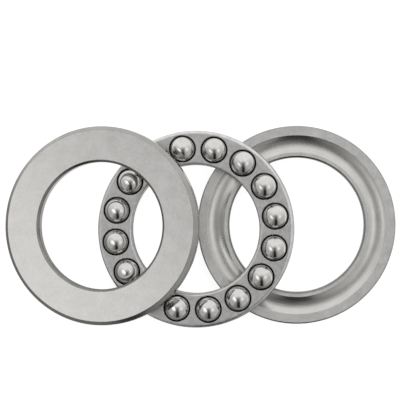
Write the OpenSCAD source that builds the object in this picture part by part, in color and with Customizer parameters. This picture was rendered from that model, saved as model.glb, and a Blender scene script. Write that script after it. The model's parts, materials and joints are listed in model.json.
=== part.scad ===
// Single-direction thrust ball bearing, taken apart and laid out like roof tiles:
// the housing washer flat on the table, the cage with its balls leaning on it,
// and the shaft washer leaning on the cage. Millimetres, +Z up, origin on the
// axis of the housing washer at the table.

/* [Washers] */
// Bore of the shaft washer, the shaft diameter
shaft_bore = 30; // [27:0.5:31.5]
// Bore of the housing washer, clear of the shaft
housing_bore = 31.8; // [28:0.1:33]
// Outer diameter of both washers
outer_d = 47; // [45:0.5:54]
// Height of the bearing when it is put together
stack_h = 11; // [10:0.1:16]
// Bevel of both rims at a washer's back
rim_bevel = 0.8; // [0.4:0.05:1.2]
// Bevel of the shaft bore at the back, clear of the fillet at a shaft's shoulder
shoulder_bevel = 0.65; // [0.4:0.05:1.2]
// Rounding of the rim at the raceway side
rim_round = 0.3; // [0.1:0.05:0.6]
// Rounding of the bores at the raceway side, and bevel of the housing bore at its back
bore_round = 0.5; // [0.2:0.05:0.9]

/* [Balls] */
// Ball diameter
ball_d = 6.35; // [5.6:0.05:6.6]
// Number of balls
ball_count = 16; // [8:1:17]
// Diameter of the circle through the ball centres
pitch_d = 38.4; // [37.6:0.1:39.4]
// Angle of the first ball from the line through the ring centres
first_ball = 6.8; // [0:0.1:22.5]
// Depth of the raceway groove
groove_depth = 0.65; // [0.4:0.05:1]
// How much wider than the ball's radius the groove's radius is
groove_ease = 0.22; // [0.1:0.01:0.4]

/* [Cage] */
// Thickness of the pressed sheet
sheet_t = 0.5; // [0.3:0.05:0.7]
// Height of the top face above the ball centres
cage_rise = 1.2; // [0.9:0.05:1.8]
// Space between a ball and the folded edges
edge_gap = 0.4; // [0.15:0.05:0.5]
// Space between a ball and the rim of its pocket
pocket_gap = 0.1; // [0.05:0.01:0.15]
// Bevel around a pocket on the top face
pocket_bevel = 0.1; // [0.05:0.05:0.25]
// Radius of the folds along the top face
fold_r = 0.7; // [0.5:0.05:1]
// How far a lip reaches in under the ring
lip_w = 0.4; // [0.2:0.05:0.5]
// Space around the ring inside the channel
ring_gap = 0.02; // [0:0.01:0.05]

/* [Lay-out] */
// Cage centre to the left of the housing washer's axis
cage_step = 23.9; // [21:0.1:26]
// Cage centre in front of the housing washer's axis
cage_drift = 1; // [-3:0.1:3]
// Shaft washer's raceway centre to the left of the cage centre
shaft_step = 21.9; // [20:0.1:24]
// Shaft washer's raceway centre behind the cage centre
shaft_drift = 0.8; // [-3:0.1:3]
// Space left where one piece leans on another
seat_gap = 0.1; // [0.05:0.05:0.5]

/* [Hidden] */
$fn = 96;

ball_r = ball_d / 2;
pitch_r = pitch_d / 2;
outer_r = outer_d / 2;
groove_r = ball_r + groove_ease;
groove_half_w = sqrt(groove_r * groove_r - pow(groove_r - groove_depth, 2));
washer_t = (stack_h - ball_d) / 2 + groove_depth;

// Section of the cage, from the ball centres' plane
cage_inner_r = pitch_r - ball_r - edge_gap - sheet_t;
cage_outer_r = pitch_r + ball_r + edge_gap + sheet_t;
web_z = cage_rise - sheet_t;
lip_z = -cage_rise - sheet_t;
pocket_r = sqrt(pow(ball_r + pocket_gap, 2) - web_z * web_z);
// A cut runs this far past the face that it opens
cut_past = 1;

// Plan positions of the leaning pieces, and the directions that they lean towards
cage_xy = [-cage_step, -cage_drift];
shaft_xy = cage_xy + [-shaft_step, shaft_drift];
cage_turn = atan2(-cage_xy.y, -cage_xy.x);
shaft_turn = atan2((cage_xy - shaft_xy).y, (cage_xy - shaft_xy).x);

// Distance from a point to the stretch between a and b
function stretch_distance(p, a, b) =
    let (along = (p - a) * (b - a) / ((b - a) * (b - a)))
    norm(p - a - max(0, min(1, along)) * (b - a));

// Walls and lands that a ball can touch on a washer's raceway side, in its section
function washer_stretches(bore_r) = [
    [[bore_r, 0], [bore_r, washer_t - bore_round]],
    [[bore_r + bore_round, washer_t], [pitch_r - groove_half_w, washer_t]],
    [[pitch_r + groove_half_w, washer_t], [outer_r - rim_round, washer_t]],
    [[outer_r, washer_t - rim_round], [outer_r, 0]],
];

// Centre and radius of each rounded edge at the raceway side, in the section
function raceway_edges(bore_r) = [
    [[bore_r + bore_round, washer_t - bore_round], bore_round],
    [[outer_r - rim_round, washer_t - rim_round], rim_round],
];

// Space between a ball and a washer, for a ball centre in the washer's section
function ball_space(p, bore_r) =
    min(concat(
        [for (s = washer_stretches(bore_r)) stretch_distance(p, s[0], s[1])],
        [for (e = raceway_edges(bore_r)) norm(p - e[0]) - e[1]]
    )) - ball_r;

// Point on the pitch circle of the cage at an angle, with the cage leaning
function pitch_point(angle, lean) =
    let (ahead = pitch_r * cos(angle), aside = pitch_r * sin(angle))
    [
        cage_xy.x + ahead * cos(lean) * cos(cage_turn) - aside * sin(cage_turn),
        cage_xy.y + ahead * cos(lean) * sin(cage_turn) + aside * cos(cage_turn),
        ball_r + (pitch_r + ahead) * sin(lean),
    ];

// Height of the shaft washer's raceway centre when its edge rests on the table
function shaft_z(lean) = (outer_r - rim_round) * sin(lean) + rim_round * (1 - cos(lean));

// The same point in the section of the leaning shaft washer
function in_shaft_section(p, lean) =
    let (
        away = p - [shaft_xy.x, shaft_xy.y, shaft_z(lean)],
        ahead = away.x * cos(shaft_turn) + away.y * sin(shaft_turn),
        aside = away.y * cos(shaft_turn) - away.x * sin(shaft_turn),
        up = away.z * cos(lean) - ahead * sin(lean)
    )
    [norm([ahead * cos(lean) + away.z * sin(lean), aside]), washer_t - up];

// Angles at which the swept ring of balls is tried
sweep = [0:1:359];

// Least space between the swept ring of balls and the piece below or above it
cage_space = function (lean)
    min([
        for (a = sweep)
            let (p = pitch_point(a, lean))
            ball_space([norm([p.x, p.y]), p.z], housing_bore / 2)
    ]);
shaft_space = function (lean)
    min([
        for (a = sweep)
            ball_space(in_shaft_section(pitch_point(a, cage_lean), lean), shaft_bore / 2)
    ]);

// Smallest lean that keeps the seat gap, found by halving the interval
function settle(space, low = 0, high = 40, steps = 24) =
    let (mid = (low + high) / 2)
    steps == 0 ? high
    : space(mid) < seat_gap ? settle(space, mid, high, steps - 1)
    : settle(space, low, mid, steps - 1);

cage_lean = settle(cage_space);
shaft_lean = settle(shaft_space);
cage_z = ball_r + pitch_r * sin(cage_lean);

function ball_name(i) = str("ball_", i < 10 ? "0" : "", i);
function ball_angle(i) = first_ball + (i - 1) * 360 / ball_count;

// Puts a piece that is drawn about the ball centres' plane where the cage leans
module place_in_cage() {
    translate([cage_xy.x, cage_xy.y, cage_z])
        rotate([0, 0, cage_turn])
            rotate([0, -cage_lean, 0])
                children();
}

// Repeats a shape at each ball's place
module each_pocket() {
    for (i = [1:ball_count])
        rotate(ball_angle(i))
            translate([pitch_r, 0, 0])
                children();
}

// Washer with its bevelled back at z = 0 and its raceway facing up
module washer(bore_d, bore_bevel) {
    bore_r = bore_d / 2;
    difference() {
        rotate_extrude() {
            polygon([
                [bore_r + bore_bevel, 0],
                [outer_r - rim_bevel, 0],
                [outer_r, rim_bevel],
                [outer_r, washer_t - rim_round],
                [outer_r - rim_round, washer_t],
                [bore_r + bore_round, washer_t],
                [bore_r, washer_t - bore_round],
                [bore_r, bore_bevel],
            ]);
            for (edge = raceway_edges(bore_r))
                translate(edge[0])
                    circle(r = edge[1]);
        }
        rotate_extrude()
            translate([pitch_r, washer_t - groove_depth + groove_r])
                circle(r = groove_r);
    }
}

// Section of a ring of sheet with both upper corners rounded
module folded_section(inner_r, outer_r, low, high, corner_r) {
    translate([inner_r, low])
        square([outer_r - inner_r, high - low - corner_r]);
    translate([inner_r + corner_r, low])
        square([outer_r - inner_r - 2 * corner_r, high - low]);
    for (r = [inner_r + corner_r, outer_r - corner_r])
        translate([r, high - corner_r])
            circle(r = corner_r);
}

// Lower ring: lies on its back, raceway up
module housing_washer() {
    color("silver")
        washer(housing_bore, bore_round);
}

// Upper ring: back up, raceway down on the balls
module shaft_washer() {
    color("gainsboro")
        translate([shaft_xy.x, shaft_xy.y, shaft_z(shaft_lean)])
            rotate([0, 0, shaft_turn])
                rotate([0, -shaft_lean, 0])
                    translate([0, 0, washer_t])
                        mirror([0, 0, 1])
                            washer(shaft_bore, shoulder_bevel);
}

// Pressed channel of the cage: top face with pockets, folded edges and rolled lips
module cage_channel() {
    color("darkgray")
        place_in_cage()
            difference() {
                rotate_extrude()
                    difference() {
                        folded_section(cage_inner_r, cage_outer_r, lip_z, cage_rise, fold_r);
                        translate([cage_inner_r + sheet_t, -cage_rise])
                            square([cage_outer_r - cage_inner_r - 2 * sheet_t, cage_rise + web_z]);
                        translate([cage_inner_r + sheet_t + lip_w, lip_z - cut_past])
                            square([
                                cage_outer_r - cage_inner_r - 2 * (sheet_t + lip_w),
                                sheet_t + 2 * cut_past,
                            ]);
                    }
                each_pocket()
                    cylinder(r = pocket_r, h = cage_rise + cut_past);
                each_pocket()
                    translate([0, 0, cage_rise - pocket_bevel])
                        cylinder(r1 = pocket_r, r2 = pocket_r + 2 * pocket_bevel, h = 2 * pocket_bevel);
            }
}

// Flat pocketed ring that closes the channel and rests on its lips
module cage_ring() {
    color("gray")
        place_in_cage()
            translate([0, 0, -cage_rise])
                difference() {
                    rotate_extrude()
                        translate([cage_inner_r + sheet_t + ring_gap, 0])
                            square([cage_outer_r - cage_inner_r - 2 * (sheet_t + ring_gap), sheet_t]);
                    each_pocket()
                        translate([0, 0, -cut_past])
                            cylinder(r = pocket_r, h = sheet_t + 2 * cut_past);
                }
}

// One ball in the middle of its pocket
module ball(i) {
    color("white")
        place_in_cage()
            rotate(ball_angle(i))
                translate([pitch_r, 0, 0])
                    sphere(r = ball_r);
}

housing_washer();
shaft_washer();
cage_channel();
cage_ring();
for (i = [1:ball_count])
    ball(i);
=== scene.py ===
"""Looks of a thrust ball bearing laid out like roof tiles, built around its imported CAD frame."""

import json
import math

import bmesh
import bpy
from mathutils import Matrix, Vector

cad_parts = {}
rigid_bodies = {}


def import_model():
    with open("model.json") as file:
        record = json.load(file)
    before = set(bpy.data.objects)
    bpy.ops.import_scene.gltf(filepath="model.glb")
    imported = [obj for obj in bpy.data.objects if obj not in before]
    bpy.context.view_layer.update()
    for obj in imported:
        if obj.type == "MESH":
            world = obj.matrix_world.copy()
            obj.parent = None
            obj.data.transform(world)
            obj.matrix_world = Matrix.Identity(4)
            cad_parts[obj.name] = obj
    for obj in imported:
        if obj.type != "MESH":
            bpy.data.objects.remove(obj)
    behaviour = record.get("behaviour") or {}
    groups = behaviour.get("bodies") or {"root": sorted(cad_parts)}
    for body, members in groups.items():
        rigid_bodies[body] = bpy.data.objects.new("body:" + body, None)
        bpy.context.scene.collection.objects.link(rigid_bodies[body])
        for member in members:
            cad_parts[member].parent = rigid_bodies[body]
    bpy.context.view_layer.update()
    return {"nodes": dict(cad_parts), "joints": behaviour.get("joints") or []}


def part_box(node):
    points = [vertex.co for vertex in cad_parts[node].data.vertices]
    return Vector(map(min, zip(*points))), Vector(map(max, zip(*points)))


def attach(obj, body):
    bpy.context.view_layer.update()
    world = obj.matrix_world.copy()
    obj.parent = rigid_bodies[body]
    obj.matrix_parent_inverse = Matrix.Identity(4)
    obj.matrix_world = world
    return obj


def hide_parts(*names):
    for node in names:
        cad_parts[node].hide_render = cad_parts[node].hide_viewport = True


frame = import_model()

bl_info = {
    "name": "Thrust ball bearing",
    "version": (1, 0, 0),
    "blender": (4, 5, 0),
    "location": "View3D > Sidebar > Bearing",
    "description": "Builds the washers, cage, balls and studio of a thrust ball bearing",
    "category": "Add Mesh",
}

MM = 0.001
# Points closer than this are one point
WELD = 0.0005 * MM
# Quads round a washer, then along its groove, rounded edges, groove lips and broken edges
TURN_STEPS = 288
GROOVE_STEPS = 36
EDGE_STEPS = 10
LIP_STEPS = 5
BREAK_STEPS = 4
# Quads round and across one pocket's share of the cage, then along its rim, folds and lip bends
SHARE_ACROSS = 24
SHARE_ALONG = 16
RIM_STEPS = 5
FOLD_STEPS = 8
BEND_STEPS = 6
# Loops of the share's top face and underside, as shares of the way from the pocket to the border
TOP_SHARES = (1, 0.86, 0.7, 0.54, 0.38, 0.24, 0.12, 0.05, 0)
UNDER_SHARES = (0.1, 0.5, 1)
# Edges of the cage that turn more than this stay sharp
CAGE_SHARP = math.radians(40)
# Fineness of a ball: 1 is a plain icosahedron, and each step more divides its faces in four
BALL_DIVISIONS = 6
# Levels of the marks' noise at which the steel has its deep and its full tone
MARK_LEVELS = (0.7, 1.3)
# Share of the roughness that is left where an edge is rubbed
RUBBED_ROUGHNESS = 0.8
# Painted light and shade of the paper as the steel sees it, bright towards the back and dim in front:
# the way it grows, the levels along it and the shares there
PAINTED_LIGHT_WAY = (0.4, 1, 0)
PAINTED_LIGHT_LEVELS = (-0.034, 0.001)
PAINTED_LIGHT_SHARES = (0.1, 1.1)
# Half of the table's width in metres, and how far it lies below the bearing
TABLE_HALF = 3.0
TABLE_BELOW = 0.05 * MM
# Level of the studio's walls, by direction in degrees from the back of the table, clockwise
WALLS = (
    (-180, 0.20), (-157, 0.24), (-135, 0.53), (-112, 0.52), (-90, 0.58), (-67, 0.76), (-45, 0.97),
    (45, 0.97), (67, 0.82), (90, 0.65), (112, 0.57), (135, 0.58), (157, 0.38), (180, 0.20),
)
# Dim ceiling round the camera: degrees from straight up where it starts and is dimmest, and level
CEILING_ANGLES = (24, 4)
CEILING_LEVEL = 0.55
# Dark gap of the camera's stand: middle, half widths where it starts and is darkest, and darkness
STAND_MIDDLE = 0.03
STAND_WIDTHS = (0.26, 0.11)
STAND_DARKNESS = 0.9
# How far to the front the gap starts and is darkest
STAND_FRONT = (-0.05, -0.7)
# Level that the camera sees past the table
BACKDROP = 0.9
# Way from the middle of the bearing to the right lamp
RIGHT_WAY = (0.56, -0.08, 0.82)
JOINTS = {joint["name"]: joint for joint in frame["joints"]}
BALLS = sorted(name for name in frame["nodes"] if name.startswith("ball_"))


def linear(hex_colour):
    """Linear red, green and blue of an sRGB hex colour."""
    parts = [int(hex_colour[i:i + 2], 16) / 255 for i in (1, 3, 5)]
    return [p / 12.92 if p <= 0.04045 else ((p + 0.055) / 1.055) ** 2.4 for p in parts]


def place_of(centre, axis, ahead):
    """Matrix of a ring's own space: z along its axis, x towards ahead, origin at its centre."""
    z = Vector(axis).normalized()
    y = z.cross(Vector(ahead)).normalized()
    x = y.cross(z)
    turned = Matrix((x, y, z)).transposed().to_4x4()
    return Matrix.Translation(Vector(centre)) @ turned


def reach(node, place):
    """Smallest and largest radius, lowest and highest level of a CAD node in a ring's own space."""
    to_ring = place.inverted()
    points = [to_ring @ vertex.co for vertex in frame["nodes"][node].data.vertices]
    radii = [math.hypot(p.x, p.y) for p in points]
    levels = [p.z for p in points]
    return min(radii), max(radii), min(levels), max(levels)


# Where each ring sits: washers from the middle of the back, the cage from its ball centres
EAST = (1, 0, 0)
HOUSING_PLACE = Matrix.Identity(4)
HOUSING_BORE, HOUSING_RIM, _, WASHER_THICK = reach("housing_washer", HOUSING_PLACE)
SHAFT_UP = Vector(JOINTS["shaft_washer_spin"]["axis"])
SHAFT_BACK = Vector(JOINTS["shaft_washer_spin"]["pos_m"]) + SHAFT_UP * WASHER_THICK / 2
SHAFT_PLACE = place_of(SHAFT_BACK, -SHAFT_UP, EAST)
SHAFT_BORE, SHAFT_RIM = reach("shaft_washer", SHAFT_PLACE)[:2]
CAGE_CENTRE = Vector(JOINTS["cage_spin"]["pos_m"])
CAGE_PLACE = place_of(CAGE_CENTRE, JOINTS["cage_spin"]["axis"], JOINTS["ball_01_spin"]["axis"])
CAGE_INNER, CAGE_OUTER, CAGE_LIP, CAGE_TOP = reach("cage_channel", CAGE_PLACE)
PITCH = (Vector(JOINTS["ball_01_spin"]["pos_m"]) - CAGE_CENTRE).length
BALL_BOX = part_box(BALLS[0])
BALL_DIAMETER = BALL_BOX[1].z - BALL_BOX[0].z
# Way of the light that the leaning shaft washer sends straight up
SHAFT_GLEAM = 2 * SHAFT_UP.z * SHAFT_UP - Vector((0, 0, 1))


def length_property(name, description, default_mm):
    """A length that the sidebar shows in scene units, given in millimetres."""
    return bpy.props.FloatProperty(
        name=name, description=description,
        default=default_mm * MM, min=0, unit="LENGTH", precision=5
    )


def colour_property(name, description, hex_colour):
    """A colour that the sidebar shows as a swatch, given in sRGB hex."""
    return bpy.props.FloatVectorProperty(
        name=name, description=description,
        default=linear(hex_colour), min=0, max=1, subtype="COLOR"
    )


def angle_property(name, description, degrees):
    """An angle that the sidebar shows in degrees."""
    return bpy.props.FloatProperty(
        name=name, description=description,
        default=math.radians(degrees), min=0, max=math.pi, subtype="ANGLE"
    )


class WasherSizes(bpy.types.PropertyGroup):
    """Sizes of the two washers that the frame doesn't give."""

    groove_depth: length_property("Groove depth", "Depth of the raceway below the land", 0.65)
    groove_radius: length_property("Groove radius", "Radius of the raceway's section", 3.395)
    lip_round: length_property("Groove lip", "Rounding where the raceway meets the land", 0.08)
    rim_bevel: length_property("Back rim", "Bevel of both rims at a washer's back", 0.8)
    shoulder_bevel: length_property("Back bore", "Bevel of the shaft bore at the back", 0.65)
    bevel_soft: length_property("Broken rim edge", "Softening of the edges of a rim's bevel", 0.12)
    bore_soft: length_property("Broken bore edge", "Softening of the edges of a bore's bevel", 0.15)
    rim_round: length_property("Rim edge", "Rounding of the rim at the raceway side", 0.3)
    bore_round: length_property(
        "Bore edge", "Rounding of the bores, and bevel of the housing bore's back", 0.5
    )


class CageSizes(bpy.types.PropertyGroup):
    """Sizes of the pressed cage that the frame doesn't give."""

    sheet: length_property("Sheet", "Thickness of the pressed sheet", 0.5)
    fold_round: length_property("Fold", "Outer radius of the folds along the top face", 0.7)
    lip_reach: length_property("Lip", "How far a lip reaches in under the cage", 0.4)
    lip_round: length_property("Lip bend", "Outer radius where the wall turns into the lip", 0.45)
    pocket_radius: length_property("Pocket", "Radius of a pocket through the sheet", 3.1993)
    pocket_round: length_property("Pocket rim", "Rounding of a pocket's rim on the top face", 0.1)


class SteelColours(bpy.types.PropertyGroup):
    """Colours of the bearing's steels."""

    # Backs and lands are one ground steel: the backs' darker tone is painted shade and the lands'
    # paler tone is painted light
    back: colour_property("Ground back", "Ground backs of the washers", "#c2c0be")
    back_deep: colour_property("Ground back, deep", "Grinding marks on a back", "#aeacaa")
    land: colour_property("Ground land", "Lands beside the raceways, and bores", "#d6d5d3")
    land_deep: colour_property("Ground land, deep", "Grinding marks on lands and bores", "#c2c1bf")
    rim: colour_property("Rim steel", "Rims and their rounded edges", "#a3a29f")
    rim_deep: colour_property("Rim steel, deep", "Turning marks on the rims", "#949390")
    # The bores' edges are darker than the rest of the washer as a painted dark reflection
    bore: colour_property("Bore steel", "Edges of the bores, dark with painted reflection", "#8b8a87")
    bore_shaded_deep: colour_property("Bore steel, deep", "Darker marks on the bores' edges", "#797875")
    raceway: colour_property("Raceway steel", "Honed raceway groove", "#c6c5c2")
    raceway_deep: colour_property("Raceway steel, deep", "Bottom of the honing marks", "#b9b8b4")
    sheet: colour_property("Sheet steel", "Pressed cage", "#d3d2d1")
    sheet_deep: colour_property("Sheet steel, deep", "Hollows of the rolled sheet", "#bdbcbb")
    # The punched pocket walls and rims get a dark tone that is painted shade of the gap round each
    # ball
    sheared_shaded: colour_property("Sheared shaded steel", "Punched pocket walls, dark with painted shade", "#4a4947")
    sheared_shaded_deep: colour_property("Sheared shaded steel, deep", "Torn marks of the walls", "#333231")
    ball: colour_property("Ball steel", "Lapped balls", "#cbcac8")
    ball_deep: colour_property("Ball steel, hazed", "Hairline marks on the balls", "#bfbebb")


class StudioSettings(bpy.types.PropertyGroup):
    """Camera and stage."""

    camera_place: bpy.props.FloatVectorProperty(
        name="Camera", description="Where the camera hangs above the table",
        default=(-22.93 * MM, 5.885 * MM, 750 * MM), subtype="TRANSLATION", unit="LENGTH"
    )
    lens: bpy.props.FloatProperty(
        name="Lens", description="Focal length for a 36 mm wide sensor",
        default=283.3, min=1, unit="CAMERA"
    )
    table: colour_property("Table", "Pale paper on the table", "#a0a0a0")
    brightness: bpy.props.FloatProperty(
        name="Brightness", description="Strength of the studio's light", default=1.25, min=0
    )
    paper_glow: bpy.props.FloatProperty(
        name="Paper glow", description="Light that comes through the paper from below",
        default=0.87, min=0
    )
    right_power: bpy.props.FloatProperty(
        name="Right lamp", description="Power of the soft lamp on the right",
        default=0.006, min=0, unit="POWER"
    )
    right_spread: angle_property("Right spread", "Angle that the right lamp lights", 40)
    right_width: length_property("Right width", "Diameter of the right lamp", 280)
    right_away: length_property("Right distance", "From the bearing to the right lamp", 400)
    left_power: bpy.props.FloatProperty(
        name="Left lamp", description="Power of the soft lamp on the left",
        default=0.029, min=0, unit="POWER"
    )
    left_spread: angle_property("Left spread", "Angle that the left lamp lights", 60)
    left_width: length_property("Left width", "Diameter of the left lamp", 260)
    left_away: length_property("Left distance", "From the shaft washer to the left lamp", 150)
    left_shift: bpy.props.FloatVectorProperty(
        name="Left shift", description="How far the left lamp stands off to the front",
        default=(-73 * MM, -88 * MM, -36 * MM), subtype="TRANSLATION", unit="LENGTH"
    )


class BearingSettings(bpy.types.PropertyGroup):
    """Everything that the sidebar shows."""

    washers: bpy.props.PointerProperty(type=WasherSizes)
    cage: bpy.props.PointerProperty(type=CageSizes)
    colours: bpy.props.PointerProperty(type=SteelColours)
    studio: bpy.props.PointerProperty(type=StudioSettings)


def add_node(tree, kind, inputs=None, **settings):
    """Adds a node with its settings.

    inputs gives values, or output sockets to link, by socket name or number.
    """
    made = tree.nodes.new(kind)
    for name, value in settings.items():
        setattr(made, name, value)
    for socket, value in (inputs or {}).items():
        if isinstance(value, bpy.types.NodeSocket):
            tree.links.new(value, made.inputs[socket])
        else:
            made.inputs[socket].default_value = value
    return made


def opaque(colour):
    """A colour with full alpha, as colour sockets take it."""
    return (*colour, 1.0)


def new_material(name):
    """An empty material, with its tree, its shader and the coordinates of the object."""
    material = bpy.data.materials.new(name)
    material.use_nodes = True
    tree = material.node_tree
    tree.nodes.clear()
    shader = add_node(tree, "ShaderNodeBsdfPrincipled")
    add_node(tree, "ShaderNodeOutputMaterial", {"Surface": shader.outputs["BSDF"]})
    coordinates = add_node(tree, "ShaderNodeTexCoord").outputs["Object"]
    return material, tree, shader, coordinates


def ring_marks(tree, coordinates, place, spacing, sweep):
    """Noise drawn out along circles round a ring's axis.

    The marks lie spacing apart, and change sweep times in each radian along a circle.
    """
    local = add_node(tree, "ShaderNodeMapping", {
        "Vector": coordinates,
        "Location": place.translation,
        "Rotation": place.to_euler(),
    }, vector_type="TEXTURE")
    flat = add_node(
        tree, "ShaderNodeVectorMath", {0: local.outputs[0], 1: (1, 1, 0)}, operation="MULTIPLY"
    )
    radius = add_node(tree, "ShaderNodeVectorMath", {0: flat.outputs[0]}, operation="LENGTH")
    around = add_node(tree, "ShaderNodeVectorMath", {0: flat.outputs[0]}, operation="NORMALIZE")
    swept = add_node(
        tree, "ShaderNodeVectorMath", {0: around.outputs[0], "Scale": sweep}, operation="SCALE"
    )
    depth = add_node(tree, "ShaderNodeSeparateXYZ", {0: local.outputs[0]})
    across = add_node(tree, "ShaderNodeMath", {
        0: radius.outputs["Value"], 1: depth.outputs["Z"],
    }, operation="ADD")
    steps = add_node(
        tree, "ShaderNodeMath", {0: across.outputs[0], 1: 1 / spacing}, operation="MULTIPLY"
    )
    upright = add_node(tree, "ShaderNodeCombineXYZ", {"Z": steps.outputs[0]})
    lay = add_node(tree, "ShaderNodeVectorMath", {
        0: swept.outputs[0], 1: upright.outputs[0],
    }, operation="ADD")
    return add_node(tree, "ShaderNodeTexNoise", {
        "Vector": lay.outputs[0],
        "Scale": 1.0,
        "Detail": 2.0,
        "Roughness": 0.55,
    }).outputs["Fac"]


def marked_steel(
    name, tones, place, spacing, sweep, roughness, depth, patch=3 * MM, lay=0.0, edge=1.0
):
    """Steel whose colour, gloss and height follow marks round a ring's axis, with patches.

    depth is the height of the marks and patch the size of the patches. lay blurs the mirror across
    the marks, and edge is how bright it stays at a grazing look.
    """
    material, tree, shader, coordinates = new_material(name)
    marks = ring_marks(tree, coordinates, place, spacing, sweep)
    cloud = add_node(tree, "ShaderNodeTexNoise", {
        "Vector": coordinates, "Scale": 1 / patch, "Detail": 3.0,
    })
    both = add_node(tree, "ShaderNodeMath", {0: marks, 1: cloud.outputs["Fac"]}, operation="ADD")
    deep, full = MARK_LEVELS
    shade = add_node(tree, "ShaderNodeMapRange", {0: both.outputs[0], 1: deep, 2: full})
    tone = add_node(tree, "ShaderNodeMix", {
        0: shade.outputs[0], 6: opaque(tones[1]), 7: opaque(tones[0]),
    }, data_type="RGBA")
    gloss = add_node(tree, "ShaderNodeMapRange", {
        0: both.outputs[0], 1: deep, 2: full, 3: roughness[0], 4: roughness[1],
    })
    rubbed = add_node(tree, "ShaderNodeAttribute", attribute_name="rubbed")
    worn = add_node(tree, "ShaderNodeMapRange", {
        0: rubbed.outputs["Fac"], 3: 1.0, 4: RUBBED_ROUGHNESS,
    })
    finish = add_node(tree, "ShaderNodeMath", {
        0: gloss.outputs[0], 1: worn.outputs[0],
    }, operation="MULTIPLY")
    bump = add_node(tree, "ShaderNodeBump", {"Height": marks, "Strength": 1.0, "Distance": depth})
    tree.links.new(tone.outputs[2], shader.inputs["Base Color"])
    tree.links.new(finish.outputs[0], shader.inputs["Roughness"])
    tree.links.new(bump.outputs[0], shader.inputs["Normal"])
    shader.inputs["Metallic"].default_value = 1.0
    shader.inputs["Specular Tint"].default_value = opaque((edge,) * 3)
    if lay:
        outward = add_node(tree, "ShaderNodeVectorMath", {
            0: coordinates, 1: place.translation,
        }, operation="SUBTRACT")
        tree.links.new(outward.outputs[0], shader.inputs["Tangent"])
        shader.inputs["Anisotropic"].default_value = lay
    return material


def mesh_object(name, mesh):
    """A new object at the origin that holds a mesh."""
    made = bpy.data.objects.new(name, mesh)
    bpy.context.scene.collection.objects.link(made)
    return made


def arc(centre, radius, start, end, steps):
    """Points of an arc in a section, from one angle to another, in degrees."""
    angles = [math.radians(start + (end - start) * i / steps) for i in range(steps + 1)]
    return [(centre[0] + radius * math.cos(a), centre[1] + radius * math.sin(a)) for a in angles]


def bend(start, corner, end, steps):
    """Points of a soft corner in a section."""
    made = []
    for i in range(steps + 1):
        t = i / steps
        weights = ((1 - t) ** 2, 2 * t * (1 - t), t * t)
        made.append(tuple(
            weights[0] * start[k] + weights[1] * corner[k] + weights[2] * end[k] for k in (0, 1)
        ))
    return made


def straight(start, end, near=0.03 * MM, fade=0.35 * MM):
    """Points of a straight stretch, with extra ones by its ends that keep the light on it even."""
    a = Vector(start)
    b = Vector(end)
    span = (b - a).length
    along = (b - a) / span
    offsets = [d for d in (0, near, fade) if d < span / 2]
    offsets = offsets + [span - d for d in reversed(offsets)]
    return [tuple(a + along * d) for d in offsets]


def bevel(start, corner, end, soft):
    """Points of a flat bevel across a corner of a section, with softly broken edges."""
    a = Vector(start)
    b = Vector(end)
    before = (Vector(corner) - a).normalized() * soft
    after = (b - Vector(corner)).normalized() * soft
    slope = (b - a).normalized() * soft
    return [
        *bend(a - before, a, a + slope, BREAK_STEPS)[:-1],
        *straight(a + slope, b - slope)[:-1],
        *bend(b - slope, b, b + after, BREAK_STEPS),
    ]


def washer_section(bore, rim, washers, back_bore):
    """Closed section of a washer, back at z = 0, as points of radius, level and finish."""
    thick = WASHER_THICK
    back = washers.rim_bevel
    soft = washers.bevel_soft
    bore_soft = washers.bore_soft
    flat_bore = back_bore - bore_soft
    face_rim = washers.rim_round
    face_bore = washers.bore_round
    depth = washers.groove_depth
    groove = washers.groove_radius
    centre = (PITCH, thick - depth + groove)
    half = math.degrees(math.acos((groove - depth) / groove))
    lip = washers.lip_round
    inset = math.degrees(lip / groove)
    floor = arc(centre, groove, -90 + half - inset, -90 - half + inset, GROOVE_STEPS)
    edge_out = PITCH + groove * math.sin(math.radians(half))
    edge_in = PITCH - groove * math.sin(math.radians(half))
    stretches = [
        ("back", straight((bore + back_bore, 0), (rim - back - soft, 0))),
        ("rim", bevel((rim - back, 0), (rim, 0), (rim, back), soft)),
        ("rim", straight((rim, back + soft), (rim, thick - face_rim))),
        ("rim", arc((rim - face_rim, thick - face_rim), face_rim, 0, 90, EDGE_STEPS)),
        ("land", straight((rim - face_rim, thick), (edge_out + lip, thick))),
        ("raceway", bend((edge_out + lip, thick), (edge_out, thick), floor[0], LIP_STEPS)),
        ("raceway", floor),
        ("raceway", bend(floor[-1], (edge_in, thick), (edge_in - lip, thick), LIP_STEPS)),
        ("land", straight((edge_in - lip, thick), (bore + face_bore, thick))),
        ("bore", arc((bore + face_bore, thick - face_bore), face_bore, 90, 180, EDGE_STEPS)),
        ("land", straight((bore, thick - face_bore), (bore, back_bore))),
        ("bore", bevel((bore, flat_bore), (bore, 0), (bore + flat_bore, 0), bore_soft)),
    ]
    return [(r, z, finish) for finish, points in stretches for r, z in points[:-1]]


def turn_washer(name, section, place, materials):
    """Turns a washer's section round its axis and puts the washer in its place."""
    finishes = ["back", "land", "raceway", "rim", "bore"]
    shape = bmesh.new()
    rubbed = shape.verts.layers.float.new("rubbed")
    rings = []
    for i in range(TURN_STEPS):
        angle = 2 * math.pi * i / TURN_STEPS
        ring = []
        for k, (r, z, finish) in enumerate(section):
            vert = shape.verts.new((r * math.cos(angle), r * math.sin(angle), z))
            vert[rubbed] = 1.0 if finish != section[k - 1][2] else 0.0
            ring.append(vert)
        rings.append(ring)
    for i, ring in enumerate(rings):
        beside = rings[(i + 1) % TURN_STEPS]
        for k, (_, _, finish) in enumerate(section):
            n = (k + 1) % len(section)
            face = shape.faces.new((ring[k], beside[k], beside[n], ring[n]))
            face.material_index = finishes.index(finish)
            face.smooth = True
    bmesh.ops.recalc_face_normals(shape, faces=shape.faces)
    shape.transform(place)
    mesh = bpy.data.meshes.new(name)
    shape.to_mesh(mesh)
    shape.free()
    for material in materials:
        mesh.materials.append(material)
    return mesh_object(name, mesh)


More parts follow.
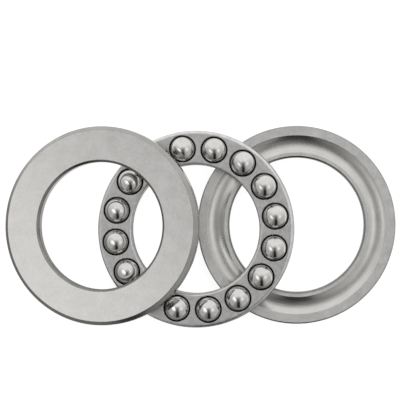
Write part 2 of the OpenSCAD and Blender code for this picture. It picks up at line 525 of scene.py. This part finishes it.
def washer_materials(ring, place, colours):
    """Finishes of one washer: ground faces, honed raceway and turned edges."""
    back = (colours.back, colours.back_deep)
    land = (colours.land, colours.land_deep)
    raceway = (colours.raceway, colours.raceway_deep)
    rim = (colours.rim, colours.rim_deep)
    bore = (colours.bore, colours.bore_shaded_deep)
    # Real grinding, honing and turning marks lie 0.02 to 0.05 mm apart: drawn coarser here to show
    return [
        # Hardened bearing steel ground flat on a turning table: an even satin grey with faint arcs.
        # Its darker tone is painted shade, a shaded copy of the lands' steel
        marked_steel(
            "ground_back_shaded_steel_" + ring, back, place,
            spacing=0.3 * MM, sweep=26.0, roughness=(0.40, 0.46), depth=0.002 * MM,
        ),
        # The same steel ground finer beside the raceway and in the bore: a paler satin, whose paler
        # tone is painted light, a lit copy of the backs' steel
        marked_steel(
            "ground_land_lit_steel_" + ring, land, place,
            spacing=0.3 * MM, sweep=26.0, roughness=(0.38, 0.44), depth=0.002 * MM,
        ),
        # The same steel honed along the track: long soft mirror bands, blurred across the fine lines
        marked_steel(
            "honed_raceway_steel_" + ring, raceway, place,
            spacing=0.2 * MM, sweep=3.0, roughness=(0.22, 0.26), depth=0.0005 * MM, lay=0.85,
        ),
        # The same steel turned and tumbled on the rim: a soft grey, smoother than the ground faces
        marked_steel(
            "turned_rim_steel_" + ring, rim, place,
            spacing=0.25 * MM, sweep=5.0, roughness=(0.18, 0.24), depth=0.001 * MM,
        ),
        # The same steel on the bore's edges, darker than the rim: the dark tone is a painted dark
        # reflection
        marked_steel(
            "turned_bore_shaded_steel_" + ring, bore, place,
            spacing=0.25 * MM, sweep=5.0, roughness=(0.2, 0.26), depth=0.001 * MM,
        ),
    ]


def sector_border(inner, outer, half, across, along):
    """Plan points round one pocket's share of the ring, from the outer arc's right end."""
    sweep = [-half + 2 * half * i / across for i in range(across + 1)]
    sides = [outer + (inner - outer) * i / along for i in range(1, along)]
    border = [(outer, a) for a in sweep]
    border += [(r, half) for r in sides]
    border += [(inner, a) for a in reversed(sweep)]
    border += [(r, -half) for r in reversed(sides)]
    return [(r * math.cos(a), r * math.sin(a)) for r, a in border]


def pocket_sector(name, cage, pockets):
    """One pocket's share of the pressed channel, with folds, walls and lips, open at its sides."""
    half = math.pi / pockets
    sheet = cage.sheet
    fold = cage.fold_round
    web = CAGE_TOP - sheet
    wall_in = CAGE_INNER + sheet
    wall_out = CAGE_OUTER - sheet
    rim = cage.pocket_radius + cage.pocket_round
    border = sector_border(wall_in, wall_out, half, SHARE_ACROSS, SHARE_ALONG)
    headings = [math.atan2(y, x - PITCH) for x, y in border]

    def top_level(x, y):
        """Level of the top face, with the folds along both edges."""
        past = abs(math.hypot(x, y) - PITCH) - (CAGE_OUTER - PITCH - fold)
        if past <= 0:
            return CAGE_TOP
        return CAGE_TOP - fold + math.sqrt(max(0, fold * fold - past * past))

    def circle(radius, drop=None):
        """Loop round the pocket, a drop below the top face, or without one at the underside."""
        loop = []
        for heading in headings:
            x = PITCH + radius * math.cos(heading)
            y = radius * math.sin(heading)
            loop.append((x, y, web if drop is None else top_level(x, y) - drop))
        return loop

    loops = []
    for share in TOP_SHARES:
        row = []
        for (x, y), heading in zip(border, headings):
            px = PITCH + rim * math.cos(heading)
            py = rim * math.sin(heading)
            qx = px + (x - px) * share
            qy = py + (y - py) * share
            row.append((qx, qy, top_level(qx, qy)))
        loops.append(row)
    for i in range(1, RIM_STEPS + 1):
        a = math.pi / 2 * i / RIM_STEPS
        inward = cage.pocket_round * math.sin(a)
        loops.append(circle(rim - inward, cage.pocket_round * (1 - math.cos(a))))
    loops.append(circle(cage.pocket_radius))
    for share in UNDER_SHARES:
        row = []
        for (x, y), heading in zip(border, headings):
            px = PITCH + cage.pocket_radius * math.cos(heading)
            py = cage.pocket_radius * math.sin(heading)
            row.append((px + (x - px) * share, py + (y - py) * share, web))
        loops.append(row)

    shape = bmesh.new()
    rows = [[shape.verts.new(p) for p in loop] for loop in loops]
    # Pocket rims and walls that take the painted shade of the gap round each ball
    sheared_shaded = shape.faces.layers.bool.new("sheared_shaded")
    first_sheared_shaded = len(TOP_SHARES) + 1
    last_sheared_shaded = len(TOP_SHARES) + RIM_STEPS
    for number, (upper, lower) in enumerate(zip(rows, rows[1:])):
        for i in range(len(border)):
            k = (i + 1) % len(border)
            face = shape.faces.new((upper[i], upper[k], lower[k], lower[i]))
            face[sheared_shaded] = first_sheared_shaded <= number < last_sheared_shaded

    reach_past = wall_out - (CAGE_OUTER - fold)
    start = math.degrees(math.acos(reach_past / fold))
    low = CAGE_LIP
    soft = cage.lip_round
    tip = 0.1 * MM
    folded = arc((0, CAGE_TOP - fold), fold, start, 0, FOLD_STEPS)
    folded = [(r - fold, z) for r, z in folded]
    wall = straight(folded[-1], (0, low + soft))
    under = [(r - soft, z) for r, z in arc((0, low + soft), soft, 0, -90, BEND_STEPS)]
    lip = -sheet - cage.lip_reach
    end = [(lip + tip, low), (lip, low + tip), (lip, low + sheet - tip), (lip + tip, low + sheet)]
    edge = folded[:-1] + wall[:-1] + under + end + [(-sheet, low + sheet), (-sheet, web)]
    for radius, side in ((CAGE_OUTER, 1), (CAGE_INNER, -1)):
        column = [(radius + side * d, z) for d, z in edge]
        strip = []
        for i in range(SHARE_ACROSS + 1):
            a = -half + 2 * half * i / SHARE_ACROSS
            strip.append([shape.verts.new((r * math.cos(a), r * math.sin(a), z)) for r, z in column])
        for here, beside in zip(strip, strip[1:]):
            for k in range(len(edge) - 1):
                shape.faces.new((here[k], beside[k], beside[k + 1], here[k + 1]))
    bmesh.ops.remove_doubles(shape, verts=shape.verts, dist=WELD)
    bmesh.ops.recalc_face_normals(shape, faces=shape.faces)
    rubbed = shape.verts.layers.float.new("rubbed")
    wear = 0.3 * MM
    for vert in shape.verts:
        from_rim = abs(math.hypot(vert.co.x - PITCH, vert.co.y) - rim)
        radius = math.hypot(vert.co.x, vert.co.y)
        from_fold = abs(min(radius - CAGE_INNER, CAGE_OUTER - radius) - fold / 2)
        vert[rubbed] = max(0.0, 1 - min(from_rim, from_fold) / wear)
    mesh = bpy.data.meshes.new(name)
    shape.to_mesh(mesh)
    shape.free()
    return mesh


def tree_socket(tree, name, kind, way="INPUT"):
    """Adds a named socket to a geometry tree and gives its identifier."""
    return tree.interface.new_socket(name, in_out=way, socket_type=kind).identifier


def pocket_ring_tree():
    """Geometry tree that repeats one pocket's share round the cage and puts it in its place."""
    tree = bpy.data.node_groups.new("pocket_ring", "GeometryNodeTree")
    sockets = {
        "Share": tree_socket(tree, "Share", "NodeSocketGeometry"),
        "Pockets": tree_socket(tree, "Pockets", "NodeSocketInt"),
        "Centre": tree_socket(tree, "Centre", "NodeSocketVector"),
        "Turn": tree_socket(tree, "Turn", "NodeSocketVector"),
        "Steel": tree_socket(tree, "Steel", "NodeSocketMaterial"),
        "Sheared shaded steel": tree_socket(tree, "Sheared shaded steel", "NodeSocketMaterial"),
    }
    tree_socket(tree, "Ring", "NodeSocketGeometry", "OUTPUT")
    given = add_node(tree, "NodeGroupInput").outputs
    places = add_node(tree, "GeometryNodeMeshLine", {
        "Count": given["Pockets"], "Offset": (0, 0, 0),
    })
    step = add_node(
        tree, "ShaderNodeMath", {0: 2 * math.pi, 1: given["Pockets"]}, operation="DIVIDE"
    )
    number = add_node(tree, "GeometryNodeInputIndex")
    angle = add_node(tree, "ShaderNodeMath", {
        0: number.outputs[0], 1: step.outputs[0],
    }, operation="MULTIPLY")
    turned = add_node(tree, "ShaderNodeCombineXYZ", {"Z": angle.outputs[0]})
    shares = add_node(tree, "GeometryNodeInstanceOnPoints", {
        "Points": places.outputs[0], "Instance": given["Share"], "Rotation": turned.outputs[0],
    })
    placed = add_node(tree, "GeometryNodeTransform", {
        "Geometry": shares.outputs[0], "Translation": given["Centre"], "Rotation": given["Turn"],
    })
    solid = add_node(tree, "GeometryNodeRealizeInstances", {0: placed.outputs[0]})
    joined = add_node(tree, "GeometryNodeMergeByDistance", {
        "Geometry": solid.outputs[0], "Distance": WELD,
    })
    smooth = add_node(tree, "GeometryNodeSetShadeSmooth", {"Geometry": joined.outputs[0]})
    steel = add_node(tree, "GeometryNodeSetMaterial", {
        "Geometry": smooth.outputs[0], "Material": given["Steel"],
    })
    # Painted shade: the pocket rims and walls get the dark steel
    walls = add_node(
        tree, "GeometryNodeInputNamedAttribute", {"Name": "sheared_shaded"}, data_type="BOOLEAN"
    )
    dark = add_node(tree, "GeometryNodeSetMaterial", {
        "Geometry": steel.outputs[0],
        "Selection": walls.outputs["Attribute"],
        "Material": given["Sheared shaded steel"],
    })
    add_node(tree, "NodeGroupOutput", {0: dark.outputs[0]})
    return tree, sockets


def ball_tree():
    """Geometry tree of one ball: an even sphere of small triangles in its pocket."""
    tree = bpy.data.node_groups.new("lapped_ball", "GeometryNodeTree")
    sockets = {
        "Blank": tree_socket(tree, "Blank", "NodeSocketGeometry"),
        "Diameter": tree_socket(tree, "Diameter", "NodeSocketFloat"),
        "Centre": tree_socket(tree, "Centre", "NodeSocketVector"),
        "Steel": tree_socket(tree, "Steel", "NodeSocketMaterial"),
    }
    tree_socket(tree, "Ball", "NodeSocketGeometry", "OUTPUT")
    given = add_node(tree, "NodeGroupInput").outputs
    radius = add_node(tree, "ShaderNodeMath", {0: given["Diameter"], 1: 0.5}, operation="MULTIPLY")
    sphere = add_node(tree, "GeometryNodeMeshIcoSphere", {
        "Radius": radius.outputs[0], "Subdivisions": BALL_DIVISIONS,
    })
    smooth = add_node(tree, "GeometryNodeSetShadeSmooth", {"Geometry": sphere.outputs[0]})
    placed = add_node(tree, "GeometryNodeTransform", {
        "Geometry": smooth.outputs[0], "Translation": given["Centre"],
    })
    solid = add_node(tree, "GeometryNodeRealizeInstances", {0: placed.outputs[0]})
    steel = add_node(tree, "GeometryNodeSetMaterial", {
        "Geometry": solid.outputs[0], "Material": given["Steel"],
    })
    add_node(tree, "NodeGroupOutput", {0: steel.outputs[0]})
    return tree, sockets


def grown(name, blank, tree, sockets, values):
    """Object with the plain mesh that a geometry tree makes from a blank mesh."""
    made = mesh_object(name, blank)
    growth = made.modifiers.new("growth", "NODES")
    growth.node_group = tree
    for socket, value in values.items():
        growth[sockets[socket]] = value
    seen = made.evaluated_get(bpy.context.evaluated_depsgraph_get())
    mesh = bpy.data.meshes.new_from_object(seen)
    made.modifiers.clear()
    made.data = mesh
    return made


class BEARING_OT_housing_washer(bpy.types.Operator):
    """Turns the housing washer that lies flat, raceway up"""

    bl_idname = "bearing.housing_washer"
    bl_label = "Housing washer"

    def execute(self, context):
        bearing = context.scene.bearing
        sizes = bearing.washers
        section = washer_section(HOUSING_BORE, HOUSING_RIM, sizes, sizes.bore_round)
        materials = washer_materials("housing", HOUSING_PLACE, bearing.colours)
        washer = turn_washer("turned_housing_washer", section, HOUSING_PLACE, materials)
        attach(washer, "housing_washer")
        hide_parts("housing_washer")
        return {"FINISHED"}


class BEARING_OT_shaft_washer(bpy.types.Operator):
    """Turns the shaft washer that leans on the cage, back up"""

    bl_idname = "bearing.shaft_washer"
    bl_label = "Shaft washer"

    def execute(self, context):
        bearing = context.scene.bearing
        sizes = bearing.washers
        section = washer_section(SHAFT_BORE, SHAFT_RIM, sizes, sizes.shoulder_bevel)
        materials = washer_materials("shaft", SHAFT_PLACE, bearing.colours)
        washer = turn_washer("turned_shaft_washer", section, SHAFT_PLACE, materials)
        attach(washer, "shaft_washer")
        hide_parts("shaft_washer")
        return {"FINISHED"}


class BEARING_OT_cage(bpy.types.Operator):
    """Presses the cage: the pocketed channel, and the finish of the ring that closes it"""

    bl_idname = "bearing.cage"
    bl_label = "Cage"

    def execute(self, context):
        bearing = context.scene.bearing
        tones = (bearing.colours.sheet, bearing.colours.sheet_deep)
        # Cold-rolled sheet steel, pressed and tumbled: a dull even grey, darker at a grazing look,
        # with a faint grain that is drawn coarser than the real 0.05 mm to show
        steel = marked_steel(
            "pressed_sheet_steel", tones, CAGE_PLACE,
            spacing=0.35 * MM, sweep=12.0, roughness=(0.29, 0.38), depth=0.003 * MM,
            patch=0.9 * MM, edge=0.4,
        )
        dark = (bearing.colours.sheared_shaded, bearing.colours.sheared_shaded_deep)
        # The same sheet where the punch cut through it, rough inside the pockets; its dark tone there
        # is painted shade of the gap round each ball
        sheared_shaded = marked_steel(
            "sheared_shaded_sheet_steel", dark, CAGE_PLACE,
            spacing=0.1 * MM, sweep=40.0, roughness=(0.45, 0.6), depth=0.004 * MM,
        )
        tree, sockets = pocket_ring_tree()
        share = pocket_sector("pocket_share", bearing.cage, len(BALLS))
        channel = grown("pressed_cage_channel", share, tree, sockets, {
            "Pockets": len(BALLS),
            "Centre": CAGE_PLACE.translation,
            "Turn": CAGE_PLACE.to_euler(),
            "Steel": steel,
            "Sheared shaded steel": sheared_shaded,
        })
        channel.data.set_sharp_from_angle(angle=CAGE_SHARP)
        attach(channel, "cage")
        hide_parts("cage_channel")
        ring = frame["nodes"]["cage_ring"]
        ring.material_slots[0].material = steel
        return {"FINISHED"}


class BEARING_OT_balls(bpy.types.Operator):
    """Laps the balls and puts one in each pocket"""

    bl_idname = "bearing.balls"
    bl_label = "Balls"

    def execute(self, context):
        bearing = context.scene.bearing
        tones = (bearing.colours.ball, bearing.colours.ball_deep)
        # Hardened bearing steel lapped between plates: a mirror, a little dimmer at its edge, with the
        # faintest haze, whose marks are drawn coarser than the real ones to show
        steel = marked_steel(
            "lapped_ball_steel", tones, CAGE_PLACE,
            spacing=0.8 * MM, sweep=20.0, roughness=(0.05, 0.09), depth=0.0, edge=0.4,
        )
        tree, sockets = ball_tree()
        for name in BALLS:
            ball = grown("lapped_" + name, bpy.data.meshes.new("blank"), tree, sockets, {
                "Diameter": BALL_DIAMETER,
                "Centre": JOINTS[name + "_spin"]["pos_m"],
                "Steel": steel,
            })
            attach(ball, name)
            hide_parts(name)
        return {"FINISHED"}


class BEARING_OT_studio(bpy.types.Operator):
    """Sets the pale table, the soft light and the camera straight above"""

    bl_idname = "bearing.studio"
    bl_label = "Studio"

    def execute(self, context):
        scene = context.scene
        studio = scene.bearing.studio
        lay_table(studio)
        hang_light(scene, studio)
        lens = bpy.data.cameras.new("camera")
        lens.lens = studio.lens
        camera = bpy.data.objects.new("camera", lens)
        camera.location = studio.camera_place
        scene.collection.objects.link(camera)
        scene.camera = camera
        scene.view_settings.view_transform = "Standard"
        return {"FINISHED"}


def lay_table(studio):
    """Lays white paper under the bearing, whose glow is even to the eye and fades in the steel, with
    painted light at the back and painted shade in front.
    """
    material, tree, shader, coordinates = new_material("white_paper")
    shader.inputs["Base Color"].default_value = opaque(studio.table)
    shader.inputs["Roughness"].default_value = 0.9
    shader.inputs["Specular IOR Level"].default_value = 0.0
    shader.inputs["Emission Color"].default_value = (1.0, 1.0, 1.0, 1.0)
    # Painted light and shade, seen only in the steel: the glow grows towards the back and dies away in
    # front
    along = add_node(
        tree, "ShaderNodeVectorMath", {0: coordinates, 1: PAINTED_LIGHT_WAY}, operation="DOT_PRODUCT"
    )
    lit = add_node(tree, "ShaderNodeMapRange", {
        0: along.outputs["Value"],
        1: PAINTED_LIGHT_LEVELS[0],
        2: PAINTED_LIGHT_LEVELS[1],
        3: PAINTED_LIGHT_SHARES[0] * studio.paper_glow,
        4: PAINTED_LIGHT_SHARES[1] * studio.paper_glow,
    }, interpolation_type="SMOOTHSTEP")
    path = add_node(tree, "ShaderNodeLightPath")
    glow = add_node(tree, "ShaderNodeMix", {
        0: path.outputs["Is Camera Ray"], 2: lit.outputs[0], 3: studio.paper_glow,
    })
    tree.links.new(glow.outputs[0], shader.inputs["Emission Strength"])
    mesh = bpy.data.meshes.new("table")
    signs = ((-1, -1), (1, -1), (1, 1), (-1, 1))
    corners = [(x * TABLE_HALF, y * TABLE_HALF, -TABLE_BELOW) for x, y in signs]
    mesh.from_pydata(corners, [], [(0, 1, 2, 3)])
    mesh.materials.append(material)
    mesh_object("table", mesh)


def hang_light(scene, studio):
    """Wraps the table in soft light: bright behind, dimmer in front, dark at the camera's stand."""
    world = bpy.data.worlds.new("studio")
    world.use_nodes = True
    scene.world = world
    tree = world.node_tree
    tree.nodes.clear()
    towards = add_node(tree, "ShaderNodeTexCoord").outputs["Generated"]
    parts = add_node(tree, "ShaderNodeSeparateXYZ", {0: towards})
    turn = add_node(
        tree, "ShaderNodeMath", {0: parts.outputs["X"], 1: parts.outputs["Y"]}, operation="ARCTAN2"
    )
    share = add_node(tree, "ShaderNodeMapRange", {0: turn.outputs[0], 1: -math.pi, 2: math.pi})
    walls = add_node(tree, "ShaderNodeValToRGB", {0: share.outputs[0]})
    stops = walls.color_ramp.elements
    for angle, _ in WALLS[1:-1]:
        stops.new(angle / 360 + 0.5)
    for stop, (_, level) in zip(stops, WALLS):
        stop.color = opaque((level,) * 3)
    start, dimmest = (math.cos(math.radians(angle)) for angle in CEILING_ANGLES)
    ceiling = add_node(tree, "ShaderNodeMapRange", {
        0: parts.outputs["Z"], 1: start, 2: dimmest, 3: 1.0, 4: CEILING_LEVEL,
    }, interpolation_type="SMOOTHSTEP")
    light = add_node(tree, "ShaderNodeMath", {
        0: walls.outputs[0], 1: ceiling.outputs[0],
    }, operation="MULTIPLY")
    aside = add_node(
        tree, "ShaderNodeMath", {0: parts.outputs["X"], 1: STAND_MIDDLE}, operation="SUBTRACT"
    )
    side = add_node(tree, "ShaderNodeMath", {0: aside.outputs[0]}, operation="ABSOLUTE")
    gap = add_node(tree, "ShaderNodeMapRange", {
        0: side.outputs[0], 1: STAND_WIDTHS[0], 2: STAND_WIDTHS[1], 3: 0.0, 4: STAND_DARKNESS,
    }, interpolation_type="SMOOTHSTEP")
    front = add_node(tree, "ShaderNodeMapRange", {
        0: parts.outputs["Y"], 1: STAND_FRONT[0], 2: STAND_FRONT[1],
    }, interpolation_type="SMOOTHSTEP")
    stand = add_node(tree, "ShaderNodeMath", {
        0: gap.outputs[0], 1: front.outputs[0],
    }, operation="MULTIPLY")
    clear = add_node(tree, "ShaderNodeMath", {0: 1.0, 1: stand.outputs[0]}, operation="SUBTRACT")
    lit = add_node(tree, "ShaderNodeMath", {
        0: light.outputs[0], 1: clear.outputs[0],
    }, operation="MULTIPLY")
    room = add_node(tree, "ShaderNodeBackground", {
        "Color": lit.outputs[0], "Strength": studio.brightness,
    })
    backdrop = add_node(tree, "ShaderNodeBackground", {
        "Color": opaque((BACKDROP,) * 3), "Strength": 1.0,
    })
    path = add_node(tree, "ShaderNodeLightPath")
    seen = add_node(tree, "ShaderNodeMixShader", {
        0: path.outputs["Is Camera Ray"], 1: room.outputs[0], 2: backdrop.outputs[0],
    })
    add_node(tree, "ShaderNodeOutputWorld", {"Surface": seen.outputs[0]})
    middle = Vector((studio.camera_place[0], studio.camera_place[1], 0))
    right = Vector(RIGHT_WAY) * studio.right_away
    soft_lamp(
        scene, "lamp_right", middle + right, right,
        studio.right_power, studio.right_width, studio.right_spread,
    )
    left = SHAFT_GLEAM * studio.left_away
    lamp = soft_lamp(
        scene, "lamp_left", SHAFT_BACK + left + Vector(studio.left_shift), left,
        studio.left_power, studio.left_width, studio.left_spread,
    )
    # Light linking keeps the left lamp off the cage: only the washers and balls take its light
    lit_pieces = bpy.data.collections.new("lit_from_the_left")
    for piece in scene.objects:
        if piece.name.startswith(("turned_", "lapped_ball")):
            lit_pieces.objects.link(piece)
    lamp.light_linking.receiver_collection = lit_pieces


def soft_lamp(scene, name, place, back, power, width, spread):
    """Hangs a round soft lamp that shines away from its back and isn't seen itself."""
    bulb = bpy.data.lights.new(name, "AREA")
    bulb.shape = "DISK"
    bulb.energy = power
    bulb.size = width
    bulb.spread = spread
    lamp = bpy.data.objects.new(name, bulb)
    lamp.location = place
    lamp.rotation_euler = back.to_track_quat("Z", "Y").to_euler()
    lamp.visible_camera = False
    scene.collection.objects.link(lamp)
    return lamp


class BEARING_PT_sidebar(bpy.types.Panel):
    """Lists the bearing's pieces and sizes in the sidebar"""

    bl_label = "Thrust ball bearing"
    bl_idname = "BEARING_PT_sidebar"
    bl_space_type = "VIEW_3D"
    bl_region_type = "UI"
    bl_category = "Bearing"

    def draw(self, context):
        bearing = context.scene.bearing
        for operator in OPERATORS:
            self.layout.operator(operator.bl_idname)
        for group in (bearing.washers, bearing.cage, bearing.colours, bearing.studio):
            box = self.layout.box()
            for name in group.bl_rna.properties.keys():
                if name not in ("rna_type", "name"):
                    box.prop(group, name)


GROUPS = (WasherSizes, CageSizes, SteelColours, StudioSettings, BearingSettings)
OPERATORS = (
    BEARING_OT_housing_washer, BEARING_OT_shaft_washer, BEARING_OT_cage,
    BEARING_OT_balls, BEARING_OT_studio,
)


def register():
    for made in (*GROUPS, *OPERATORS, BEARING_PT_sidebar):
        bpy.utils.register_class(made)
    bpy.types.Scene.bearing = bpy.props.PointerProperty(type=BearingSettings)


def unregister():
    del bpy.types.Scene.bearing
    for made in reversed((*GROUPS, *OPERATORS, BEARING_PT_sidebar)):
        bpy.utils.unregister_class(made)


def main():
    register()
    bpy.ops.bearing.housing_washer()
    bpy.ops.bearing.shaft_washer()
    bpy.ops.bearing.cage()
    bpy.ops.bearing.balls()
    bpy.ops.bearing.studio()


if __name__ == "__main__":
    main()
